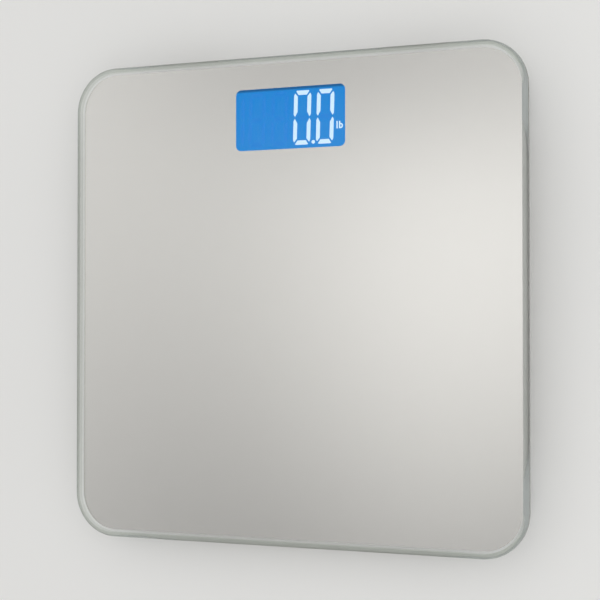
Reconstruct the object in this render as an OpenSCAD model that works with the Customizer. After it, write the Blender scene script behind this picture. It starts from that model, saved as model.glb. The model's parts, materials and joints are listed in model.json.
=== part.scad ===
// Digital bathroom scale: a glass platform on four load-cell feet, with a backlit display under the glass.
// Millimetres. +Z is up and +Y points to the display end. The origin is on the floor, under the platform's centre.

/* [Platform] */
// Width and depth of the square glass platform
platform_w = 300; // [290:1:330]
// Thickness of the tempered glass
glass_t = 6; // [5:0.5:8]
// Corner radius of the platform, seen from above
corner_r = 28; // [20:1:34]
// Radius of the ground and polished edge
edge_r = 2.75; // [1:0.25:2.75]
// Clear border between the platform's side and the silver print
print_inset = 4.4; // [3:0.1:5.2]

/* [Display] */
// Width of the clear window in the silver print
window_w = 73; // [70:0.5:76]
// Depth of the clear window in the silver print
window_d = 37.8; // [37:0.1:41]
// Corner radius of the window
window_r = 3.5; // [1:0.5:6]
// Distance from the platform's display edge to the window's centre
display_inset = 38.5; // [38:0.5:41]
// Height of one digit
digit_h = 33.2; // [28:0.1:34]
// Lean of the digits, in degrees
digit_lean = 1.6; // [0:0.2:3]

/* [Feet] */
// Radius of a foot pod, the moulding that is taped to the glass
pod_r = 31; // [31:0.5:33]
// Distance from the platform's edge to the pod's centre
foot_inset = 36; // [36:0.5:38]
// Radius of the anti-slip pad
pad_r = 19; // [16:0.5:20]
// How far a foot drops when the scale is lifted
foot_drop = 0.5; // [0.2:0.1:0.5]

/* [Housing] */
// Width of the electronics housing
housing_w = 116; // [116:1:124]
// Height of the housing's underside above the floor
housing_z = 4.8; // [4.6:0.1:4.9]
// Gap all round the battery door
door_gap = 0.3; // [0.2:0.05:0.35]
// Radius of the unit button
button_r = 4.2; // [3:0.2:4.6]

/* [Hidden] */
$fn = 96;
eps = 0.01;
// Heights, from the floor up
shell_t = 1.6;                          // floor of the housing
pcb_z = 10.1;                           // underside of the circuit board
pcb_t = 1.6;
board_top = pcb_z + pcb_t;
mount_z = 17.3;                         // top of every moulding that is taped to the glass
tape_t = 0.6;
print_t = 0.09;
print_z = mount_z + tape_t;
glass_z = print_z + 0.1;
// Places in plan
foot_at = platform_w / 2 - foot_inset;
display_y = platform_w / 2 - display_inset;
// Housing, in the display's own frame
wall_t = 1.8;
housing_y0 = -57.5;
housing_y1 = 30.5;
housing_r = 8;
housing_floor = housing_z + shell_t;
// Display module
lcd_w = 79;
lcd_y0 = -22;
lcd_y1 = 22.5;
lcd_ledge = 2.6;                        // step that the rubber connector presses on
film_gap = 0.02;                        // adhesive between the layers
film_t = 0.18;
guide_z = 11.9;
guide_h = 2.6;
diffuser_z = guide_z + guide_h + film_gap;
rear_polarizer_z = diffuser_z + film_t + film_gap;
rear_glass_z = rear_polarizer_z + film_t + film_gap;
segment_z = 16.02;
segment_t = 0.04;
front_glass_z = segment_z + segment_t + film_gap;
front_polarizer_z = 17.1;
// Digits, in the display's own frame
stroke = 2.5;                           // width of an upright segment
bar_t = 2.7;                            // thickness of a level one
digit_w = 11.4;
digit_pitch = 15.2;
digit_x = [for (i = [0 : 3]) i * digit_pitch - 29.1];
digit_y = -digit_h / 2;
dot_gap = 1.75;                         // from a dot's centre to the next digit
colon_y = [-7, 3];
// Circuit board
board_w = 100;
board_d = 54;
tab_x = [30, 54];
tab_y0 = -52;
post_at = [[-46, -21], [46, -21], [-46, 22], [46, 22]];
socket_y = [-3, 9];
socket_size = [6, 9, 3.2];
// Unit switch
button_at = [42, -41];
switch_h = 2.2;
plunger_r = 1.6;
press = 0.3;                            // travel of the button and of the switch under it
// Battery bay
cell_r = 5.2;
cell_l = 43.7;
nub_l = 0.8;
cell_z = 11.9;
cell_y = [-47.4, -36.6];
bay_x = 24.9;
bay_y0 = housing_y0 + wall_t;
bay_y1 = -31.1;
bay_wall = 1.6;
contact_t = 0.4;
door_x = 24.2;
door_y0 = -53;
door_y1 = -31.3;
hinge_r = 0.5;
// Feet
pod_z = 5.5;
pod_bore = 26.5;
pod_roof = 15.3;
lip_t = 1.5;
lip_r = 24.2;
disc_r = 23.6;
disc_z = 1.2;
disc_flange = [pod_z + lip_t + foot_drop + 0.05, 8.75];
disc_flange_r = 25.6;
disc_floor = [2.2, 3.4];
pad_t = 2.2;
cell_plate = 32;
cell_plate_z = 11;
cell_plate_t = 2;
seat_post = 12.5;
tongue_gap = 0.35;                      // how far a full load bends the tongue
// Cable ducts
duct_w = 14;
duct_z = 12.3;
duct_t = 1.2;
wire_r = 0.55;
wire_z = 14.2;
wire_pitch = 1.35;

CORNERS = [["toe_left", -1, 1], ["toe_right", 1, 1], ["heel_left", -1, -1], ["heel_right", 1, -1]];

// ---------- shared shapes ----------

module rounded_rect(w, d, r) {
    square([w - 2 * r, d], center = true);
    square([w, d - 2 * r], center = true);
    for (x = [-1, 1], y = [-1, 1])
        translate([x * (w / 2 - r), y * (d / 2 - r)]) circle(r);
}

function span(centre, half) = [centre - half, centre + half];

module block(x, y, z) {
    translate([x[0], y[0], z[0]]) cube([x[1] - x[0], y[1] - y[0], z[1] - z[0]]);
}

module disc(r, z) {
    translate([0, 0, z[0]]) cylinder(r = r, h = z[1] - z[0]);
}

module ring(r_out, r_in, z) {
    difference() {
        disc(r_out, z);
        disc(r_in, [z[0] - 1, z[1] + 1]);
    }
}

module at_display() {
    translate([0, display_y, 0]) children();
}

// Places a foot's parts at one corner. Inside, +X and +Y point away from the platform's centre.
module at_corner(sx, sy) {
    mirror([sx < 0 ? 1 : 0, 0, 0]) mirror([0, sy < 0 ? 1 : 0, 0])
        translate([foot_at, foot_at, 0]) children();
}

// A smooth curve through points, three steps to a span
function unit(v) = v / norm(v);
function heading(p, i) = unit(p[min(i + 1, len(p) - 1)] - p[max(i - 1, 0)]);
function sideways(t) = unit([-t.y, t.x, 0]);
function span_point(a, b, from, to, t) = let (l = norm(b - a), c = t * t, d = c * t)
    (2 * d - 3 * c + 1) * a + (d - 2 * c + t) * l * from + (3 * c - 2 * d) * b + (d - c) * l * to;
function curve(p, n = 3) = let (last = len(p) - 1) concat(
    [for (i = [0 : last - 1], k = [0 : n - 1])
        span_point(p[i], p[i + 1], heading(p, i), heading(p, i + 1), k / n)],
    [p[last]]);

// A round wire swept along a route that is nowhere vertical, set off sideways from the route
module wire(route, r, offset = 0, sides = 8) {
    count = len(route);
    rings = [for (i = [0 : count - 1]) let (t = heading(route, i), s = sideways(t), u = cross(t, s))
        for (k = [0 : sides - 1]) let (a = 360 * k / sides)
            route[i] + offset * s + r * (cos(a) * s + sin(a) * u)];
    skin = [for (i = [0 : count - 2], k = [0 : sides - 1], half = [0, 1]) let (n = (k + 1) % sides, j = i + 1)
        half == 0 ? [i * sides + k, j * sides + k, j * sides + n] : [i * sides + k, j * sides + n, i * sides + n]];
    polyhedron(points = rings, convexity = 4, faces = concat(
        skin, [[for (k = [0 : sides - 1]) k]],
        [[for (k = [sides - 1 : -1 : 0]) (count - 1) * sides + k]]));
}

// ---------- platform ----------

module edge_section(w) {
    rounded_rect(w, glass_t, edge_r);
}

module glass_bar() {
    rotate([90, 0, 0]) linear_extrude(platform_w - 2 * corner_r, center = true) edge_section(platform_w);
}

module glass_corner() {
    rotate_extrude(angle = 90) intersection() {
        edge_section(2 * corner_r);
        translate([0, -glass_t]) square([2 * corner_r, 2 * glass_t]);
    }
}

module glass_platform() {
    color("lightblue", 0.5) translate([0, 0, glass_z + glass_t / 2]) {
        glass_bar();
        rotate([0, 0, 90]) glass_bar();
        for (a = [0 : 90 : 270])
            rotate([0, 0, a]) translate([platform_w / 2 - corner_r, platform_w / 2 - corner_r, 0]) glass_corner();
    }
}

module silver_print() {
    w = platform_w - 2 * print_inset;
    color("silver") translate([0, 0, print_z]) linear_extrude(print_t) difference() {
        rounded_rect(w, w, corner_r - print_inset);
        translate([0, display_y]) rounded_rect(window_w, window_d, window_r);
    }
}

module housing_outline(inset = 0) {
    translate([0, (housing_y0 + housing_y1) / 2])
        rounded_rect(housing_w - 2 * inset, housing_y1 - housing_y0 - 2 * inset, housing_r - inset);
}

// Foam tape between the glass and everything under it: a frame on the housing, a ring on each pod
// and a strip along each duct wall
module mounting_tape() {
    color("whitesmoke") {
        at_display() translate([0, 0, mount_z]) linear_extrude(tape_t) difference() {
            housing_outline();
            housing_outline(wall_t);
        }
        for (c = CORNERS) at_corner(c[1], c[2]) ring(pod_r - 1, 14, [mount_z, print_z]);
        for (sx = [-1, 1], side = [-1, 1]) {
            wall = span(foot_at + side * (duct_w - duct_t) / 2, duct_t / 2);
            mirror([sx < 0 ? 1 : 0, 0, 0]) {
                block(wall, span(0, foot_at - pod_r - 1), [mount_z, print_z]);
                block([housing_w / 2 + 0.5, foot_at - pod_r - 1], wall, [mount_z, print_z]);
            }
        }
    }
}

// ---------- feet ----------

module pod_shell() {
    fillet = 2.5;
    rotate_extrude() difference() {
        union() {
            translate([0, pod_z + fillet]) square([pod_r, mount_z - pod_z - fillet]);
            translate([0, pod_z]) square([pod_r - fillet, fillet]);
            translate([pod_r - fillet, pod_z + fillet]) circle(fillet);
        }
        translate([-1, pod_z + lip_t]) square([pod_bore + 1, pod_roof - pod_z - lip_t]);
        translate([-1, pod_z - 1]) square([lip_r + 1, lip_t + 1 + eps]);
    }
}

// One post on each corner of the load cell's frame, and a clip under two of its sides
module cell_seat() {
    edge = cell_plate / 2;
    for (x = [-1, 1], y = [-1, 1]) translate([x * seat_post, y * seat_post, 0])
        disc(2, [cell_plate_z + cell_plate_t, pod_roof + 1]);
    for (a = [0, 180]) rotate([0, 0, a]) {
        block([-3, 3], [edge + 0.2, edge + 1.6], [cell_plate_z - 0.5, pod_roof + 1]);
        block([-3, 3], [edge - 0.8, edge + 0.4], [cell_plate_z - 0.5, cell_plate_z - 0.05]);
    }
}

module wire_notch() {
    block([-pod_r - 1, -lip_r], [-6, 6], [duct_z + duct_t, pod_roof]);
}

// notches: 1 has a wire notch to the side duct only, 2 has one to the housing too
module foot_pod(sx, sy, notches) {
    color("gainsboro") at_corner(sx, sy) {
        difference() {
            pod_shell();
            rotate([0, 0, 90]) wire_notch();
            if (notches > 1) wire_notch();
        }
        along_cell(sy) cell_seat();
    }
}

// A load cell's wires leave it towards the platform's other axis at the heel
module along_cell(sy) {
    rotate([0, 0, sy > 0 ? 0 : 90]) children();
}

// Steel plate with a tongue that the foot presses on
module load_cell(sx, sy) {
    slot = 2;
    tongue = 13;
    reach = 10;
    color("lightsteelblue") at_corner(sx, sy) along_cell(sy) {
        translate([0, 0, cell_plate_z]) linear_extrude(cell_plate_t) difference() {
            rounded_rect(cell_plate, cell_plate, 3);
            for (side = [-1, 1]) translate([0, side * (tongue + slot) / 2]) square([2 * reach, slot], center = true);
            translate([reach - slot / 2, 0]) square([slot, tongue + 2 * slot], center = true);
        }
    }
}

// Foil gauges under a drop of silicone, on the root of each tongue
module strain_gauges() {
    for (c = CORNERS) color("white") at_corner(c[1], c[2]) along_cell(c[2])
        translate([-8, 0, cell_plate_z + cell_plate_t]) linear_extrude(1) rounded_rect(7, 8, 1.5);
}

// The part of the foot that slides in the pod. Its centre boss presses the load cell's tongue.
module foot_disc(sx, sy) {
    bore = disc_r - 1.8;
    color("silver") at_corner(sx, sy) {
        difference() {
            disc(disc_r, [disc_z, disc_flange[1]]);
            disc(bore, [disc_floor[1], disc_flange[1] + 1]);
            disc(pad_r + 0.3, [disc_z - 1, disc_floor[0]]);
        }
        disc(3.5, [disc_floor[1] - eps, cell_plate_z - 1.2]);
        disc(1.5, [cell_plate_z - 1.3, cell_plate_z - tongue_gap]);
        for (a = [0 : 60 : 300]) rotate([0, 0, a])
            block([3, bore + 0.5], [-0.6, 0.6], [disc_floor[1] - eps, disc_floor[1] + 2]);
        for (a = [0 : 120 : 240]) rotate([0, 0, a]) intersection() {
            ring(disc_flange_r, disc_r - 0.5, disc_flange);
            block([0, disc_flange_r + 1], [-7, 7], [0, mount_z]);
        }
    }
}

module foot_pad(sx, sy) {
    groove_w = 1.2;
    groove_h = 0.6;
    color("dimgray") at_corner(sx, sy) difference() {
        disc(pad_r, [0, pad_t]);
        for (r = [pad_r * 0.3 : pad_r * 0.22 : pad_r * 0.8])
            ring(r + groove_w, r, [-1, groove_h]);
    }
}

// ---------- cable ducts and wires ----------

// A channel along +Y, open towards the glass
module duct(length) {
    height = mount_z - duct_z;
    rotate([90, 0, 0]) linear_extrude(length, center = true) translate([0, duct_z + height / 2]) difference() {
        union() {
            rounded_rect(duct_w, height, 1.5);
            translate([-duct_w / 2, 0]) square([duct_w, height / 2]);
        }
        translate([duct_t - duct_w / 2, duct_t - height / 2]) square([duct_w - 2 * duct_t, height]);
    }
}

module pod_clearance() {
    for (c = CORNERS) at_corner(c[1], c[2]) disc(pod_r + 0.1, [0, glass_z]);
}

module side_duct(sx) {
    color("gainsboro") difference() {
        translate([sx * foot_at, 0, 0]) duct(2 * (foot_at - pod_r + 4));
        pod_clearance();
    }
}

module upper_duct(sx) {
    x0 = housing_w / 2 + 0.1;
    x1 = foot_at - pod_r + 4;
    color("gainsboro") difference() {
        translate([sx * (x0 + x1) / 2, foot_at, 0]) rotate([0, 0, 90]) duct(x1 - x0);
        pod_clearance();
    }
}

// Routes on the right-hand side, from the load cell to its socket on the board
function board_end(y, side) = [
    [58, foot_at + 3 * side, wire_z], [53, (foot_at + 3 * side + y) / 2, wire_z - 0.4],
    [46.8, y, board_top + 1.6]];
function toe_route() = curve(concat([
    [foot_at - 12, foot_at, 13.7], [foot_at - 16, foot_at + 0.4, wire_z], [foot_at - 24, foot_at + 3, wire_z],
    [foot_at - 34, foot_at + 3, wire_z]],
    board_end(display_y + socket_y[1], 1)));
function heel_route() = curve(concat([
    [foot_at, 12 - foot_at, 13.7], [foot_at, 16 - foot_at, wire_z], [foot_at - 2, 30 - foot_at, wire_z],
    [foot_at - 2, 0, wire_z], [foot_at - 2, foot_at - 32, wire_z], [foot_at - 3, foot_at - 24.5, wire_z],
    [foot_at - 16, foot_at - 15.4, wire_z], [foot_at - 20.5, foot_at - 8, wire_z],
    [foot_at - 25.5, foot_at - 3.3, wire_z], [foot_at - 32, foot_at - 3, wire_z]],
    board_end(display_y + socket_y[0], -1)));

// Three wires from one load cell to its socket on the board
module cell_wires(sx, sy) {
    colours = ["red", "black", "white"];
    route = sy > 0 ? toe_route() : heel_route();
    mirror([sx < 0 ? 1 : 0, 0, 0]) for (k = [0 : 2])
        color(colours[k]) wire(route, wire_r, (k - 1) * wire_pitch, 6);
}

// ---------- housing ----------

module bay_walls() {
    top = 15.7;
    for (side = [-1, 1]) block(span(side * (bay_x + bay_wall / 2), bay_wall / 2),
        [bay_y0 - 0.5, bay_y1 + bay_wall], [housing_floor - eps, top]);
    difference() {
        block([-bay_x - bay_wall, bay_x + bay_wall], [bay_y1, bay_y1 + bay_wall], [housing_floor - eps, top]);
        block([-4.5, 4.5], [bay_y1 - 1, bay_y1 + bay_wall + 1], [housing_floor + 0.2, housing_floor + 1.2]);
    }
}

module electronics_housing() {
    color("gainsboro") at_display() {
        difference() {
            translate([0, 0, housing_z]) linear_extrude(mount_z - housing_z) housing_outline();
            translate([0, 0, housing_floor]) linear_extrude(mount_z) housing_outline(wall_t);
            block([-door_x, door_x], [door_y0, door_y1], [0, housing_floor + 1]);
            // Thumb recess behind the battery door
            translate([0, door_y1, 0]) disc(7, [housing_z - 1, housing_z + 0.8]);
            translate([button_at.x, button_at.y, 0]) disc(button_r + 0.2, [0, housing_floor + 1]);
            // Openings to the two cable ducts
            for (sx = [-1, 1]) block(span(sx * housing_w / 2, wall_t + 1),
                span(foot_at - display_y, duct_w / 2 - duct_t), [duct_z + duct_t, mount_z + 1]);
        }
        bay_walls();
        for (p = post_at) translate([p.x, p.y, 0]) ring(3, 1.23, [housing_floor - eps, pcb_z]);
    }
}

// Hooks under the housing's lip at one end and a sprung latch at the other
module battery_door() {
    x = door_x - door_gap;
    y = [door_y0 + door_gap + 0.05, door_y1 - door_gap];
    color("gainsboro") at_display() difference() {
        union() {
            // The lower edge is round about the line that the door turns on
            block([-x, x], [y[0] + hinge_r, y[1]], [housing_z, housing_floor]);
            block([-x, x], [y[0], y[0] + 2 * hinge_r], [housing_z + hinge_r, housing_floor]);
            translate([-x, y[0] + hinge_r, housing_z + hinge_r]) rotate([0, 90, 0]) cylinder(r = hinge_r, h = 2 * x);
            for (side = [-1, 1]) translate([side * 15, 0, 0]) {
                block([-3, 3], [y[0] + 0.2, y[0] + 1.8], [housing_floor - eps, housing_floor + 1]);
                block([-3, 3], [y[0] - 1.3, y[0] + 1.8], [housing_floor + 0.1, housing_floor + 1]);
            }
            block([-4, 4], [y[1] - 1.2, y[1]], [housing_floor - eps, housing_floor + 0.9]);
        }
        // Slots beside the latch, which let it bend
        for (side = [-1, 1]) block(span(side * 5.4, 0.5), [y[1] - 6, y[1] + 1], [0, housing_floor + 1]);
        // Grip grooves
        for (k = [0 : 4]) block([k - 8, 8 - k], span(y[1] - 8 - 1.6 * k, 0.4), [0, housing_z + 0.4]);
    }
}

module unit_button() {
    color("slategray") at_display() translate([button_at.x, button_at.y, 0]) difference() {
        union() {
            disc(button_r, [housing_z - 0.5, housing_floor + 0.2]);
            disc(button_r + 1.2, [housing_floor + 0.1, housing_floor + 0.6]);
            disc(1.2, [housing_floor, pcb_z - switch_h - 0.6]);
        }
        // Shallow dish for the fingertip
        translate([0, 0, housing_z - 0.5 - 19.7]) sphere(20);
    }
}

// ---------- display ----------

module window_gasket() {
    color("black") at_display() translate([0, 0, mount_z]) linear_extrude(tape_t) difference() {
        rounded_rect(lcd_w + 4, window_d + 9, 2);
        rounded_rect(window_w + 1, window_d + 1, window_r);
    }
}

module lcd_frame() {
    x = lcd_w / 2 + 0.2;
    y = [lcd_y0 - 0.2, lcd_y1 + 0.2];
    rim = 1.5;
    color("white") at_display() difference() {
        block([-x - rim, x + rim], [y[0] - rim, y[1] + rim], [board_top, mount_z]);
        block([-x, x], y, [board_top - 1, mount_z + 1]);
    }
}

module lcd_sheet(y0, z) {
    at_display() block([-lcd_w / 2, lcd_w / 2], [y0, lcd_y1], z);
}

module lcd_film(z) {
    inset = 0.6;
    at_display() block([inset - lcd_w / 2, lcd_w / 2 - inset], [lcd_y0 + lcd_ledge + inset, lcd_y1 - inset],
        [z, z + film_t]);
}

module lcd_front_polarizer() {
    color("steelblue", 0.5) lcd_film(front_polarizer_z);
}

module lcd_front_glass() {
    color("lightcyan", 0.5) lcd_sheet(lcd_y0, [front_glass_z, front_polarizer_z - film_gap]);
}

module lcd_rear_glass() {
    color("lightcyan", 0.5) lcd_sheet(lcd_y0 + lcd_ledge, [rear_glass_z, segment_z - film_gap]);
}

module lcd_rear_polarizer() {
    color("steelblue") lcd_film(rear_polarizer_z);
}

module backlight_diffuser() {
    color("white") lcd_film(diffuser_z);
}

module backlight_guide() {
    color("dodgerblue") at_display() block([-37.5, 37.5], [-19, 22], [guide_z, guide_z + guide_h]);
}

module backlight_leds() {
    color("deepskyblue") at_display() for (y = [-8, 0, 8])
        block([37.6, 39], span(y, 1.5), [board_top, guide_z + 2.2]);
}

module backlight_reflector() {
    color("white") at_display() block([-37.5, 37.5], [-19, 22], [board_top, guide_z]);
}

module rubber_connector() {
    color("black") at_display()
        block([-36, 36], [lcd_y0 + 0.3, lcd_y0 + lcd_ledge - 0.3], [board_top, front_glass_z]);
}

// Outlines of a seven-segment digit, from its lower left corner
function flip_y(p) = [for (i = [len(p) - 1 : -1 : 0]) [p[i].x, digit_h - p[i].y]];
function flip_x(p) = [for (i = [len(p) - 1 : -1 : 0]) [digit_w - p[i].x, p[i].y]];
function bar_end() = [[1.85, digit_h], [1.4, digit_h - 0.45], [stroke + 0.45, digit_h - bar_t]];
function top_bar() = concat(bar_end(), flip_x(bar_end()));
function upper_left() = [
    [0, digit_h - 3.3], [0, digit_h / 2 + 2], [0.85, digit_h / 2 + 0.5],
    [stroke, digit_h / 2 + 3.5], [stroke, digit_h - 3.75], [0.8, digit_h - 1.65], [0.3, digit_h - 2.3]];
function middle_end() = [[2.7, (digit_h - bar_t) / 2], [1.7, digit_h / 2], [2.7, (digit_h + bar_t) / 2]];
function middle_bar() = concat(middle_end(), flip_x(middle_end()));
function ring_segments() = [top_bar(), flip_y(top_bar()), upper_left(), flip_x(upper_left()),
    flip_y(upper_left()), flip_x(flip_y(upper_left()))];
function lean(q) = [q.x + q.y * tan(digit_lean), q.y];

module segment_layer(z0 = segment_z) {
    at_display() translate([0, 0, z0]) linear_extrude(segment_t) children();
}

module segments(x, shapes) {
    translate([x, digit_y]) for (s = shapes) polygon([for (q = s) lean(q)]);
}

// A dot in front of a digit, at a height above the display's centre
module dot(index, y, r) {
    translate([digit_x[index] - dot_gap, digit_y] + lean([0, y - digit_y])) circle(r, $fn = 32);
}

// The letters l and b
module unit_letters() {
    stem = 0.85;
    bowl = 1.6;
    translate([30.05, -7.85]) {
        square([stem, 4.5]);
        translate([1.65, 0]) {
            square([stem, 4.5]);
            translate([1, bowl]) intersection() {
                difference() {
                    circle(bowl, $fn = 32);
                    circle(bowl - stem, $fn = 32);
                }
                translate([-0.6, -bowl]) square([2 * bowl, 2 * bowl]);
            }
        }
    }
}

module lcd_segments_lit() {
    color("aliceblue") segment_layer() {
        for (i = [2, 3]) segments(digit_x[i], ring_segments());
        dot(3, -15.2, 1.15);
        unit_letters();
    }
}

module lcd_segments_unlit() {
    one = [flip_x(upper_left()), flip_x(flip_y(upper_left()))];
    color("royalblue") segment_layer() {
        for (i = [0, 1]) segments(digit_x[i], concat(ring_segments(), [middle_bar()]));
        for (i = [2, 3]) segments(digit_x[i], [middle_bar()]);
        segments(digit_x[0] - digit_pitch + 1.1, one);
        for (i = [1, 2], y = colon_y) dot(i, y, 1);
    }
}

// ---------- electronics ----------

module circuit_board() {
    color("seagreen") at_display() difference() {
        union() {
            block([-board_w / 2, board_w / 2], [-board_d / 2, board_d / 2], [pcb_z, board_top]);
            block(tab_x, [tab_y0, 1 - board_d / 2], [pcb_z, board_top]);
        }
        for (p = post_at) translate([p.x, p.y, 0]) disc(1.5, [0, mount_z]);
    }
}

module board_screws() {
    color("silver") at_display() for (p = post_at) translate([p.x, p.y, 0]) difference() {
        union() {
            disc(1.2, [pcb_z - 3.2, board_top]);
            disc(2.5, [board_top, board_top + 1.4]);
        }
        for (a = [0, 90]) rotate([0, 0, a])
            block([-1.4, 1.4], [-0.3, 0.3], [board_top + 0.6, board_top + 2]);
    }
}

// A chip with legs on two sides, hanging under the board
module chip(size, pins, pitch) {
    block([-size.x, size.x] / 2, [-size.y, size.y] / 2, [pcb_z - size.z, pcb_z]);
    for (side = [-1, 1], k = [0 : pins - 1])
        block(span(side * (size.x / 2 + 0.5), 0.55), span((k - (pins - 1) / 2) * pitch, 0.2),
            [pcb_z - 0.4, pcb_z]);
}

module controller_chip() {
    color("black") at_display() translate([-12, -4, 0]) chip([7.5, 15.4, 2.3], 12, 1.27);
}

module amplifier_chip() {
    color("black") at_display() translate([14, 2, 0]) chip([3.9, 9.9, 1.6], 8, 1.27);
}

module crystal() {
    color("silver") at_display() translate([0, -12, pcb_z - 2.6]) linear_extrude(2.6) rounded_rect(9, 3.6, 1.7);
}

module capacitors() {
    color("tan") at_display() {
        for (p = [[-28, 8], [-28, -2], [24, 12], [24, -6], [6, 14]])
            translate([p.x, p.y, 0]) block([-1, 1], [-0.6, 0.6], [pcb_z - 1, pcb_z]);
        for (p = [[-34, 14], [34, 4]]) translate([p.x, p.y, 0]) disc(2, [pcb_z - 3, pcb_z]);
    }
}

module resistors() {
    color("dimgray") at_display() for (i = [0 : 3], j = [0 : 1])
        translate([24 + 3 * i, -14 - 3 * j, 0]) block([-0.8, 0.8], [-0.4, 0.4], [pcb_z - 0.5, pcb_z]);
}

module load_cell_sockets() {
    color("ivory") at_display() for (sx = [-1, 1], y = socket_y) mirror([sx < 0 ? 1 : 0, 0, 0])
        translate([46.2, y, 0]) difference() {
            block([-1, 1] * socket_size.x / 2, [-1, 1] * socket_size.y / 2, [board_top, board_top + socket_size.z]);
            block([0, socket_size.x], [-1, 1] * (socket_size.y / 2 - 1.2), [board_top + 0.8, board_top + 2.4]);
        }
}

module unit_switch() {
    color("silver") at_display() translate([button_at.x, button_at.y, 0]) difference() {
        block([-3, 3], [-3, 3], [pcb_z - switch_h, pcb_z]);
        disc(plunger_r + 0.1, [0, pcb_z - switch_h + 1.3]);
    }
}

module unit_switch_plunger() {
    color("black") at_display() translate([button_at.x, button_at.y, 0])
        disc(plunger_r, [pcb_z - switch_h - 0.6, pcb_z - switch_h + 0.9]);
}

// ---------- batteries ----------

// One AAA cell along X, with its positive end at facing * X
module battery_cell(y, facing) {
    color("goldenrod") at_display() translate([0, y, cell_z]) rotate([0, facing * 90, 0]) {
        translate([0, 0, bay_x - contact_t - nub_l - cell_l]) cylinder(r = cell_r, h = cell_l);
        translate([0, 0, bay_x - contact_t - nub_l - 0.5]) cylinder(r = 1.9, h = nub_l + 0.5);
    }
}

// Cone-shaped coils that push on the cells' flat ends
module battery_springs() {
    turns = 3.5;
    wire = 0.35;
    length = 2 * bay_x - 2 * contact_t - nub_l - cell_l - 2 * wire;
    steps = 48;
    for (i = [0, 1]) color("silver") at_display() translate([0, cell_y[i], cell_z]) mirror([i, 0, 0])
        wire([for (k = [0 : steps]) let (t = k / steps, a = 360 * turns * t, r = 3.8 - 1.5 * t)
            [contact_t - bay_x + wire + 0.02 + (length - 0.04) * t, r * cos(a), r * sin(a)]], wire, 0, 6);
}

// Sprung-side and button-side plates on the left, and one plate that joins the cells on the right
module battery_contacts() {
    half = 4;
    color("silver") at_display() {
        for (y = cell_y) block([-bay_x, contact_t - bay_x], span(y, half), span(cell_z, half));
        block([bay_x - contact_t, bay_x], [cell_y[0] - half, cell_y[1] + half], span(cell_z, half));
    }
}

// From the contacts, over the bay's wall, to the board
module battery_leads() {
    x = contact_t / 2 - bay_x;
    z = cell_z + 4.55;
    black = [[x, cell_y[0], z], [x - 1.8, -47, z], [-28.7, -44, 15], [-29.4, -38, 13.5], [-29.8, -31, 12.9],
        [-30, -25.8, board_top + 0.55]];
    red = [[x, -38, z], [x - 1.8, -37.5, z], [-29.5, -35, 15], [-31.4, -31, 13.2],
        [-31.6, -25.8, board_top + 0.55]];
    at_display() {
        color("black") wire(curve(black), 0.5, 0, 6);
        color("red") wire(curve(red), 0.5, 0, 6);
    }
}

// ---------- assembly ----------

glass_platform();
silver_print();
mounting_tape();
for (c = CORNERS) {
    foot_pod(c[1], c[2], c[2] > 0 ? 2 : 1);
    load_cell(c[1], c[2]);
    foot_disc(c[1], c[2]);
    foot_pad(c[1], c[2]);
    cell_wires(c[1], c[2]);
}
strain_gauges();
upper_duct(-1);  // upper_duct_left
upper_duct(1);  // upper_duct_right
side_duct(-1);  // side_duct_left
side_duct(1);  // side_duct_right
electronics_housing();
battery_door();
unit_button();
window_gasket();
lcd_frame();
lcd_front_polarizer();
lcd_front_glass();
lcd_segments_lit();
lcd_segments_unlit();
lcd_rear_glass();
lcd_rear_polarizer();
backlight_diffuser();
backlight_guide();
backlight_leds();
backlight_reflector();
rubber_connector();
circuit_board();
controller_chip();
amplifier_chip();
crystal();
capacitors();
resistors();
load_cell_sockets();
unit_switch();
unit_switch_plunger();
board_screws();
battery_cell(cell_y[0], 1);  // battery_cell_front
battery_cell(cell_y[1], -1);  // battery_cell_rear
battery_springs();
battery_contacts();
battery_leads();
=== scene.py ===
"""Digital bathroom scale: materials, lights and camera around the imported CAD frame."""
import json
import math

import bmesh
import bpy
from mathutils import Matrix, Vector


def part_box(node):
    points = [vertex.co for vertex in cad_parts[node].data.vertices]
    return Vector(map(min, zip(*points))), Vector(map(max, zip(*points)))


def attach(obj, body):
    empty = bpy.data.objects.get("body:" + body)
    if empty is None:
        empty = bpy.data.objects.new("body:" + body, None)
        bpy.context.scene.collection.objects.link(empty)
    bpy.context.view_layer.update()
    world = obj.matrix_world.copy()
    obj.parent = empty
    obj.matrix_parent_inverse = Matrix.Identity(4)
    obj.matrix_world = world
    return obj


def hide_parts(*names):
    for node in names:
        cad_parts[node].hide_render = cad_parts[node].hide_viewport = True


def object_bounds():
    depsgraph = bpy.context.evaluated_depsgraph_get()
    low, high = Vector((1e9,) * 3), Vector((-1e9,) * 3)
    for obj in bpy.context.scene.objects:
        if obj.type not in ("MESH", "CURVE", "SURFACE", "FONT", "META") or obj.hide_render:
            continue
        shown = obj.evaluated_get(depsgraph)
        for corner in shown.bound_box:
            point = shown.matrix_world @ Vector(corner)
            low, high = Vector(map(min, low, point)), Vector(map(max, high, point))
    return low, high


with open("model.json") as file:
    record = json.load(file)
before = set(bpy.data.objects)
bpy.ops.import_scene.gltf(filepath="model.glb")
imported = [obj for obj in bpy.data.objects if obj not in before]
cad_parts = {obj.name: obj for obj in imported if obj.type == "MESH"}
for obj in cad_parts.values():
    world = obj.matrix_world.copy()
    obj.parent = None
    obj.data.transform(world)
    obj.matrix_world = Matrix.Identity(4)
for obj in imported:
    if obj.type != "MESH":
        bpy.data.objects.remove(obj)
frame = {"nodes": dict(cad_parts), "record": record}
cad_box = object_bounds()
NODES = frame["nodes"]
scene = bpy.context.scene

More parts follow.
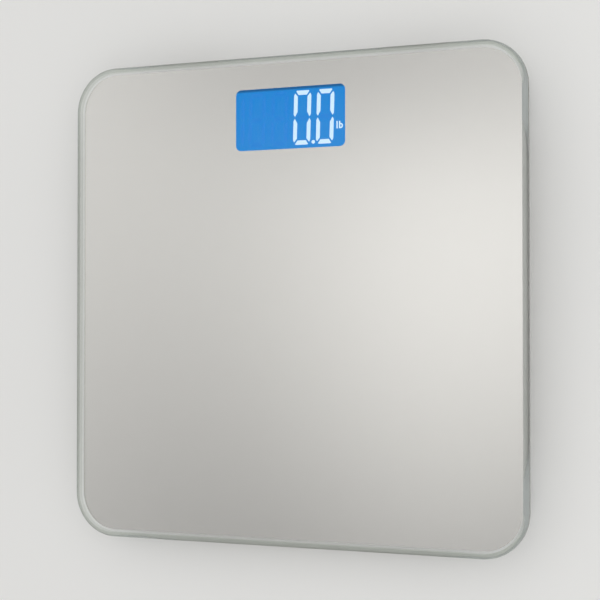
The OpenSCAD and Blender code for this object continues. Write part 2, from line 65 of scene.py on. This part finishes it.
CORNER_RADIUS = 0.028           # of the platform, seen from above
EDGE_RADIUS = 0.00275           # of the glass's pencil edge
FLAT_RIM = 0.0004               # level ring that keeps the edge's shading off the large faces
GLASS_SINK = 0.00004            # how far the glass reaches into the print that is fired onto it
CASE_RADIUS = 0.00025           # moulded radius on the housing, door, pods and discs
TRIM_RADIUS = 0.0002            # the same on the ducts, pads and button
FRAME_SHADE = (0.1289, 0.1298)  # Y where the frame's painted shade on the blue film starts and is full
SHADE_DEPTH = 0.45              # share of the glow that is left in that painted shade
GLOW_BODY = 0.1                 # base colour of a glowing surface, as a share of its glow


# ---------- shader helpers ----------

def srgb(r, g, b):
    """A colour from its 0-255 display values, as linear light."""
    def lin(v):
        v /= 255
        return v / 12.92 if v <= 0.04045 else ((v + 0.055) / 1.055) ** 2.4
    return (lin(r), lin(g), lin(b), 1)


def dimmed(colour, share):
    return tuple(c * share for c in colour[:3]) + (1,)


class Shader:
    """A Principled material and the nodes that feed it."""

    def __init__(self, name, **values):
        self.mat = bpy.data.materials.new(name)
        self.mat.use_nodes = True
        self.tree = self.mat.node_tree
        self.bsdf = self.tree.nodes["Principled BSDF"]
        for key, value in values.items():
            self.bsdf.inputs[key.replace("_", " ")].default_value = value

    def node(self, kind, **inputs):
        n = self.tree.nodes.new(kind)
        for key, value in inputs.items():
            n.inputs[key].default_value = value
        return n

    def link(self, a, b):
        self.tree.links.new(a, b)

    def coords(self, stretch=(1, 1, 1)):
        """Object coordinates, which are the row frame in metres, stretched along the axes."""
        tc = self.node("ShaderNodeTexCoord")
        m = self.node("ShaderNodeMapping")
        m.inputs["Scale"].default_value = stretch
        self.link(tc.outputs["Object"], m.inputs["Vector"])
        return m.outputs["Vector"]

    def noise(self, scale, detail=3.0, stretch=(1, 1, 1)):
        n = self.node("ShaderNodeTexNoise", Scale=scale, Detail=detail)
        self.link(self.coords(stretch), n.inputs["Vector"])
        return n.outputs["Fac"]

    def ramp(self, fac, stops):
        r = self.node("ShaderNodeValToRGB")
        r.color_ramp.elements[0].position, r.color_ramp.elements[0].color = stops[0]
        r.color_ramp.elements[1].position, r.color_ramp.elements[1].color = stops[-1]
        for pos, col in stops[1:-1]:
            r.color_ramp.elements.new(pos).color = col
        self.link(fac, r.inputs["Fac"])
        return r.outputs["Color"]

    def mottle(self, colour, amount, scale, detail=3.0, stretch=(1, 1, 1)):
        """Base colour that wanders by amount round colour."""
        low = tuple(c * (1 - amount) for c in colour[:3]) + (1,)
        high = tuple(min(1, c * (1 + amount)) for c in colour[:3]) + (1,)
        out = self.ramp(self.noise(scale, detail, stretch), [(0.3, low), (0.7, high)])
        self.link(out, self.bsdf.inputs["Base Color"])
        return self

    def rough(self, low, high, scale, detail=3.0, stretch=(1, 1, 1)):
        """Roughness that wanders between low and high."""
        m = self.node("ShaderNodeMapRange")
        m.inputs["From Min"].default_value, m.inputs["From Max"].default_value = 0.3, 0.7
        m.inputs["To Min"].default_value, m.inputs["To Max"].default_value = low, high
        self.link(self.noise(scale, detail, stretch), m.inputs["Value"])
        self.link(m.outputs["Result"], self.bsdf.inputs["Roughness"])
        return self

    def bump(self, scale, distance, detail=3.0, strength=1.0, stretch=(1, 1, 1)):
        """Grain of the given depth in metres."""
        b = self.node("ShaderNodeBump", Strength=strength, Distance=distance)
        self.link(self.noise(scale, detail, stretch), b.inputs["Height"])
        self.link(b.outputs["Normal"], self.bsdf.inputs["Normal"])
        return self


def moulded(name, colour, rough, grain=2200, depth=0.00004):
    """Injection-moulded plastic with a fine spark-eroded grain."""
    s = Shader(name)
    return s.mottle(colour, 0.03, 35).rough(rough - 0.05, rough + 0.06, 60).bump(grain, depth).mat


def metal(name, colour, rough, stretch=(1, 1, 1)):
    """Plated steel, with its streaks drawn out along the axes by stretch."""
    s = Shader(name, Metallic=1.0).mottle(colour, 0.06, 120, stretch=stretch)
    return s.rough(rough - 0.06, rough + 0.1, 400, stretch=stretch).mat


def glow(name, colour, strength, shade=None, **values):
    """A surface that the backlight shines through, with a painted shade darkening its glow in Y from
    shade[0] to shade[1].
    """
    s = Shader(name, Roughness=0.6, Emission_Strength=strength, Emission_Color=colour, **values)
    if shade:
        # painted shade: the glow is dimmed by a ramp in Y, standing in for the frame's shadow
        y = s.node("ShaderNodeSeparateXYZ")
        s.link(s.coords(), y.inputs["Vector"])
        fade = s.node("ShaderNodeMapRange")
        fade.inputs["From Min"].default_value, fade.inputs["From Max"].default_value = shade
        s.link(y.outputs["Y"], fade.inputs["Value"])
        shaded = s.ramp(fade.outputs["Result"], [(0.0, colour), (1.0, dimmed(colour, SHADE_DEPTH))])
        s.link(shaded, s.bsdf.inputs["Emission Color"])
    return s.mottle(dimmed(colour, GLOW_BODY), 0.03, 60).bump(900, 0.00001).mat


def clear(name, colour, rough, ior=1.5, grain=90, **values):
    """Clear sheet with the slight waviness of float glass or film."""
    s = Shader(name, Transmission_Weight=1.0, IOR=ior, Base_Color=colour, **values)
    return s.rough(rough * 0.6, rough * 1.4, 30).bump(grain, 0.0000015).mat


# ---------- materials ----------

MATERIALS = {
    "clear_glass": clear(
        "clear_glass", (0.985, 0.993, 0.988, 1), 0.004, grain=30, Specular_Tint=(0.45, 0.45, 0.45, 1)),
    "edge_glass": clear("edge_glass", (0.78, 0.82, 0.77, 1), 0.03, grain=120),
    "silver_ink": Shader("silver_ink", Metallic=0.9).mottle(srgb(228, 226, 223), 0.035, 1500, 2.0)
    .rough(0.14, 0.17, 1500).bump(5200, 0.000002).mat,
    "foam_tape": moulded("foam_tape", (0.80, 0.80, 0.78, 1), 0.85, 700, 0.0002),
    "silicone": moulded("silicone", (0.85, 0.85, 0.83, 1), 0.35, 150, 0.0001),
    "grey_abs": moulded("grey_abs", srgb(176, 179, 181), 0.46),
    "dark_abs": moulded("dark_abs", srgb(52, 54, 58), 0.4),
    "black_foam": moulded("black_foam", (0.012, 0.012, 0.013, 1), 0.9, 900, 0.0001),
    "white_abs": moulded("white_abs", (0.82, 0.82, 0.80, 1), 0.4),
    "polarizer": clear("polarizer", (0.93, 0.95, 1.0, 1), 0.02, 1.05),
    "display_glass": clear("display_glass", (0.985, 0.99, 1.0, 1), 0.005, 1.05),
    "lit_segments": glow("lit_segments", (0.68, 0.88, 1.0, 1), 0.95),
    "unlit_segments": glow("unlit_segments", srgb(0, 128, 209), 1.0, Specular_IOR_Level=0.33),
    # the blue film's glow carries the frame's painted shade along the window's top edge
    "blue_film": glow("blue_film", srgb(0, 134, 210), 1.0, shade=FRAME_SHADE),
    "white_film": moulded("white_film", (0.86, 0.88, 0.92, 1), 0.6, 1500, 0.00001),
    "blue_acrylic": moulded("blue_acrylic", (0.15, 0.45, 0.9, 1), 0.15, 200, 0.00001),
    "led_epoxy": glow("led_epoxy", (0.2, 0.45, 1.0, 1), 1.5),
    "black_rubber": moulded("black_rubber", (0.02, 0.02, 0.02, 1), 0.7, 600, 0.00005),
    "green_laminate": Shader("green_laminate", Coat_Weight=0.4, Coat_Roughness=0.15)
    .mottle((0.012, 0.14, 0.05, 1), 0.25, 260, 1.0, (1, 6, 1)).rough(0.3, 0.4, 90)
    .bump(700, 0.00003, 0.0, 1.0, (1, 4, 1)).mat,
    "chip_epoxy": moulded("chip_epoxy", (0.015, 0.015, 0.016, 1), 0.55, 1500, 0.00003),
    "capacitor_body": moulded("capacitor_body", (0.42, 0.27, 0.12, 1), 0.4, 900, 0.00002),
    "chip_ceramic": moulded("chip_ceramic", (0.03, 0.03, 0.035, 1), 0.4, 900, 0.00002),
    "nylon": moulded("nylon", (0.78, 0.74, 0.62, 1), 0.5),
    "nickel_steel": metal("nickel_steel", (0.66, 0.65, 0.61, 1), 0.22),
    "zinc_steel": metal("zinc_steel", (0.62, 0.64, 0.66, 1), 0.32, (1, 8, 1)),
    "cell_can": Shader("cell_can", Metallic=0.4, Coat_Weight=0.5).mottle((0.03, 0.10, 0.07, 1), 0.12, 50)
    .rough(0.25, 0.35, 150).bump(600, 0.00001).mat,
    "wire_red": moulded("wire_red", (0.45, 0.02, 0.015, 1), 0.35, 500, 0.00003),
    "wire_black": moulded("wire_black", (0.015, 0.015, 0.015, 1), 0.35, 500, 0.00003),
    "wire_white": moulded("wire_white", (0.75, 0.74, 0.71, 1), 0.35, 500, 0.00003),
    "pad_rubber": Shader("pad_rubber").mottle(srgb(64, 66, 69), 0.12, 90, 4.0).rough(0.65, 0.85, 200)
    .bump(1400, 0.00008, 4.0).mat,
}
WIRES = ["wire_red", "wire_black", "wire_white"]
SLOT = {s["node"]: s["material_slot"] for s in frame["record"]["subparts"]}


# ---------- CAD nodes ----------

def loose_islands(mesh):
    """Face lists of a mesh's separate solids, in order of their lowest vertex."""
    parent = list(range(len(mesh.vertices)))

    def root(i):
        while parent[i] != i:
            parent[i] = parent[parent[i]]
            i = parent[i]
        return i

    seen = {}
    for v in mesh.vertices:  # the mesh may hold one point more than once
        key = tuple(round(c, 7) for c in v.co)
        if key in seen:
            parent[root(v.index)] = root(seen[key])
        seen[key] = v.index
    for e in mesh.edges:
        parent[root(e.vertices[0])] = root(e.vertices[1])
    groups = {}
    for p in mesh.polygons:
        groups.setdefault(root(p.vertices[0]), []).append(p.index)
    return [groups[k] for k in sorted(groups)]


def paint(node):
    """The node's slot material, or one colour for each of its wires."""
    o = NODES[node]
    o.data.materials.clear()
    slot = SLOT[node]
    if slot != "wire_pvc":
        o.data.materials.append(MATERIALS[slot])
        return
    kinds = WIRES if node.startswith("cell_wires") else ["wire_black", "wire_red"]
    for k in kinds:
        o.data.materials.append(MATERIALS[k])
    for i, faces in enumerate(loose_islands(o.data)):
        for f in faces:
            o.data.polygons[f].material_index = i % len(kinds)


def soften(node, width):
    """Small moulded radii on a CAD node's sharp edges."""
    o = NODES[node]
    weld = o.modifiers.new("weld", "WELD")
    weld.merge_threshold = 0.000005
    bevel = o.modifiers.new("bevel", "BEVEL")
    bevel.width = width
    bevel.segments = 2
    bevel.limit_method = "ANGLE"
    bevel.angle_limit = math.radians(40)
    bevel.harden_normals = True
    for p in o.data.polygons:
        p.use_smooth = True


for name in NODES:
    paint(name)
for name in NODES:
    if name.startswith(("foot_pod", "foot_disc")) or name in ("electronics_housing", "battery_door"):
        soften(name, CASE_RADIUS)
    elif name.startswith(("upper_duct", "side_duct", "foot_pad")) or name == "unit_button":
        soften(name, TRIM_RADIUS)


# ---------- glass platform ----------

def glass_plate():
    """The tempered plate with its ground and polished edge, finer than the CAD solid."""
    lo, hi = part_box("glass_platform")
    half = hi.x
    steps, rounds = 24, 8  # faces along each corner, and round each half of the edge
    arcs = []
    for quarter in range(4):
        cx = (half - CORNER_RADIUS) * (1 if quarter in (0, 3) else -1)
        cy = (half - CORNER_RADIUS) * (1 if quarter in (0, 1) else -1)
        for k in range(steps + 1):
            a = math.radians(90 * quarter + 90 * k / steps)
            arcs.append((cx, cy, math.cos(a), math.sin(a)))
    bottom = lo.z - GLASS_SINK
    turns = [math.radians(90 * k / rounds) for k in range(rounds + 1)]
    profile = [(EDGE_RADIUS + FLAT_RIM, bottom)]  # each ring's inset and height, from the bottom up
    for a in turns:
        profile.append((EDGE_RADIUS * (1 - math.sin(a)), bottom + EDGE_RADIUS * (1 - math.cos(a))))
    for a in turns:
        profile.append((EDGE_RADIUS * (1 - math.cos(a)), hi.z - EDGE_RADIUS * (1 - math.sin(a))))
    profile.append((EDGE_RADIUS + FLAT_RIM, hi.z))
    bm = bmesh.new()
    rings = []
    for inset, z in profile:
        r = CORNER_RADIUS - inset
        rings.append([bm.verts.new((cx + r * c, cy + r * s, z)) for cx, cy, c, s in arcs])
    for low, high in zip(rings, rings[1:]):
        for i in range(len(arcs)):
            j = (i + 1) % len(arcs)
            bm.faces.new((low[i], low[j], high[j], high[i])).smooth = True
    bm.faces.new(rings[-1])
    bm.faces.new(list(reversed(rings[0])))
    bm.normal_update()
    mesh = bpy.data.meshes.new("glass_plate")
    bm.to_mesh(mesh)
    bm.free()
    o = bpy.data.objects.new("glass_plate", mesh)
    scene.collection.objects.link(o)
    mesh.materials.append(MATERIALS["clear_glass"])
    mesh.materials.append(MATERIALS["edge_glass"])
    for p in mesh.polygons[:len(arcs) * (len(profile) - 1)]:  # all but the two large faces
        p.material_index = 1
    o.visible_shadow = False  # light reaches the print and the display through it
    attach(o, "platform")
    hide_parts("glass_platform")


glass_plate()
for name in ("lcd_front_glass", "lcd_rear_glass", "lcd_front_polarizer"):
    NODES[name].visible_shadow = False


# ---------- camera, floor and light ----------

top_z = cad_box[1][2]


def camera():
    """The viewpoint: 24 degrees off the platform's normal, with the display end up."""
    data = bpy.data.cameras.new("camera")
    data.lens = 91.37
    data.sensor_width = 36
    data.clip_start, data.clip_end = 0.01, 50
    o = bpy.data.objects.new("camera", data)
    scene.collection.objects.link(o)
    o.location = (0.3784, -0.0188, 0.8438 + top_z)
    target = Vector((0.0085, 0.0, top_z))
    back = (o.location - target).normalized()
    right = Vector((0, 1, 0)).cross(back).normalized()
    up = back.cross(right)
    o.matrix_world = Matrix.Translation(o.location) @ Matrix((right, up, back)).transposed().to_4x4()
    scene.camera = o


def floor():
    bpy.ops.mesh.primitive_plane_add(size=6, location=(0, 0, 0))
    o = bpy.context.object
    o.name = "floor"
    s = Shader("floor", Specular_IOR_Level=0.2).mottle((0.85, 0.85, 0.84, 1), 0.01, 3).rough(0.7, 0.8, 5)
    o.data.materials.append(s.mat)


def softbox(name, place, target, size, power):
    data = bpy.data.lights.new(name, "AREA")
    data.shape = "RECTANGLE"
    data.size, data.size_y = size
    data.energy = power
    o = bpy.data.objects.new(name, data)
    scene.collection.objects.link(o)
    o.location = place
    o.rotation_euler = (Vector(target) - o.location).to_track_quat("-Z", "Y").to_euler()


def studio(base, lobes):
    """A soft dome of light with brighter and dimmer lobes, and no edge that the glass could mirror.

    A lobe is its centre and reach in the direction's x and y, and the strength that it adds.
    """
    world = bpy.data.worlds.new("studio")
    scene.world = world
    world.use_nodes = True
    tree = world.node_tree
    direction = tree.nodes.new("ShaderNodeTexCoord").outputs["Generated"]
    total = None
    for (x, y), (wide, tall), strength in lobes:
        m = tree.nodes.new("ShaderNodeMapping")
        m.inputs["Location"].default_value = (-x / wide, -y / tall, 0)
        m.inputs["Scale"].default_value = (1 / wide, 1 / tall, 0)
        length = tree.nodes.new("ShaderNodeVectorMath")
        length.operation = "LENGTH"
        fade = tree.nodes.new("ShaderNodeMapRange")
        fade.interpolation_type = "SMOOTHERSTEP"
        fade.inputs["From Min"].default_value, fade.inputs["From Max"].default_value = 1.0, 0.0
        fade.inputs["To Min"].default_value, fade.inputs["To Max"].default_value = 0.0, strength
        add = tree.nodes.new("ShaderNodeMath")
        add.inputs[0].default_value = base
        tree.links.new(direction, m.inputs["Vector"])
        tree.links.new(m.outputs["Vector"], length.inputs[0])
        tree.links.new(length.outputs["Value"], fade.inputs["Value"])
        if total is not None:
            tree.links.new(total, add.inputs[0])
        tree.links.new(fade.outputs["Result"], add.inputs[1])
        total = add.outputs["Value"]
    tree.links.new(total, tree.nodes["Background"].inputs["Strength"])
    tree.nodes["Background"].inputs["Color"].default_value = (1.0, 0.995, 0.985, 1)


camera()
floor()
studio(0.9, [
    ((-0.265, -0.25), (0.58, 0.6), -0.82),
    ((-0.292, 0.011), (0.204, 0.362), 0.757),
    ((-0.33, 0.194), (0.268, 0.121), -0.79),
])
softbox("side", (0.55, 0.1, 0.6), (0.1, 0, 0), (0.35, 0.6), 0.5)
scene.view_settings.view_transform = "Standard"
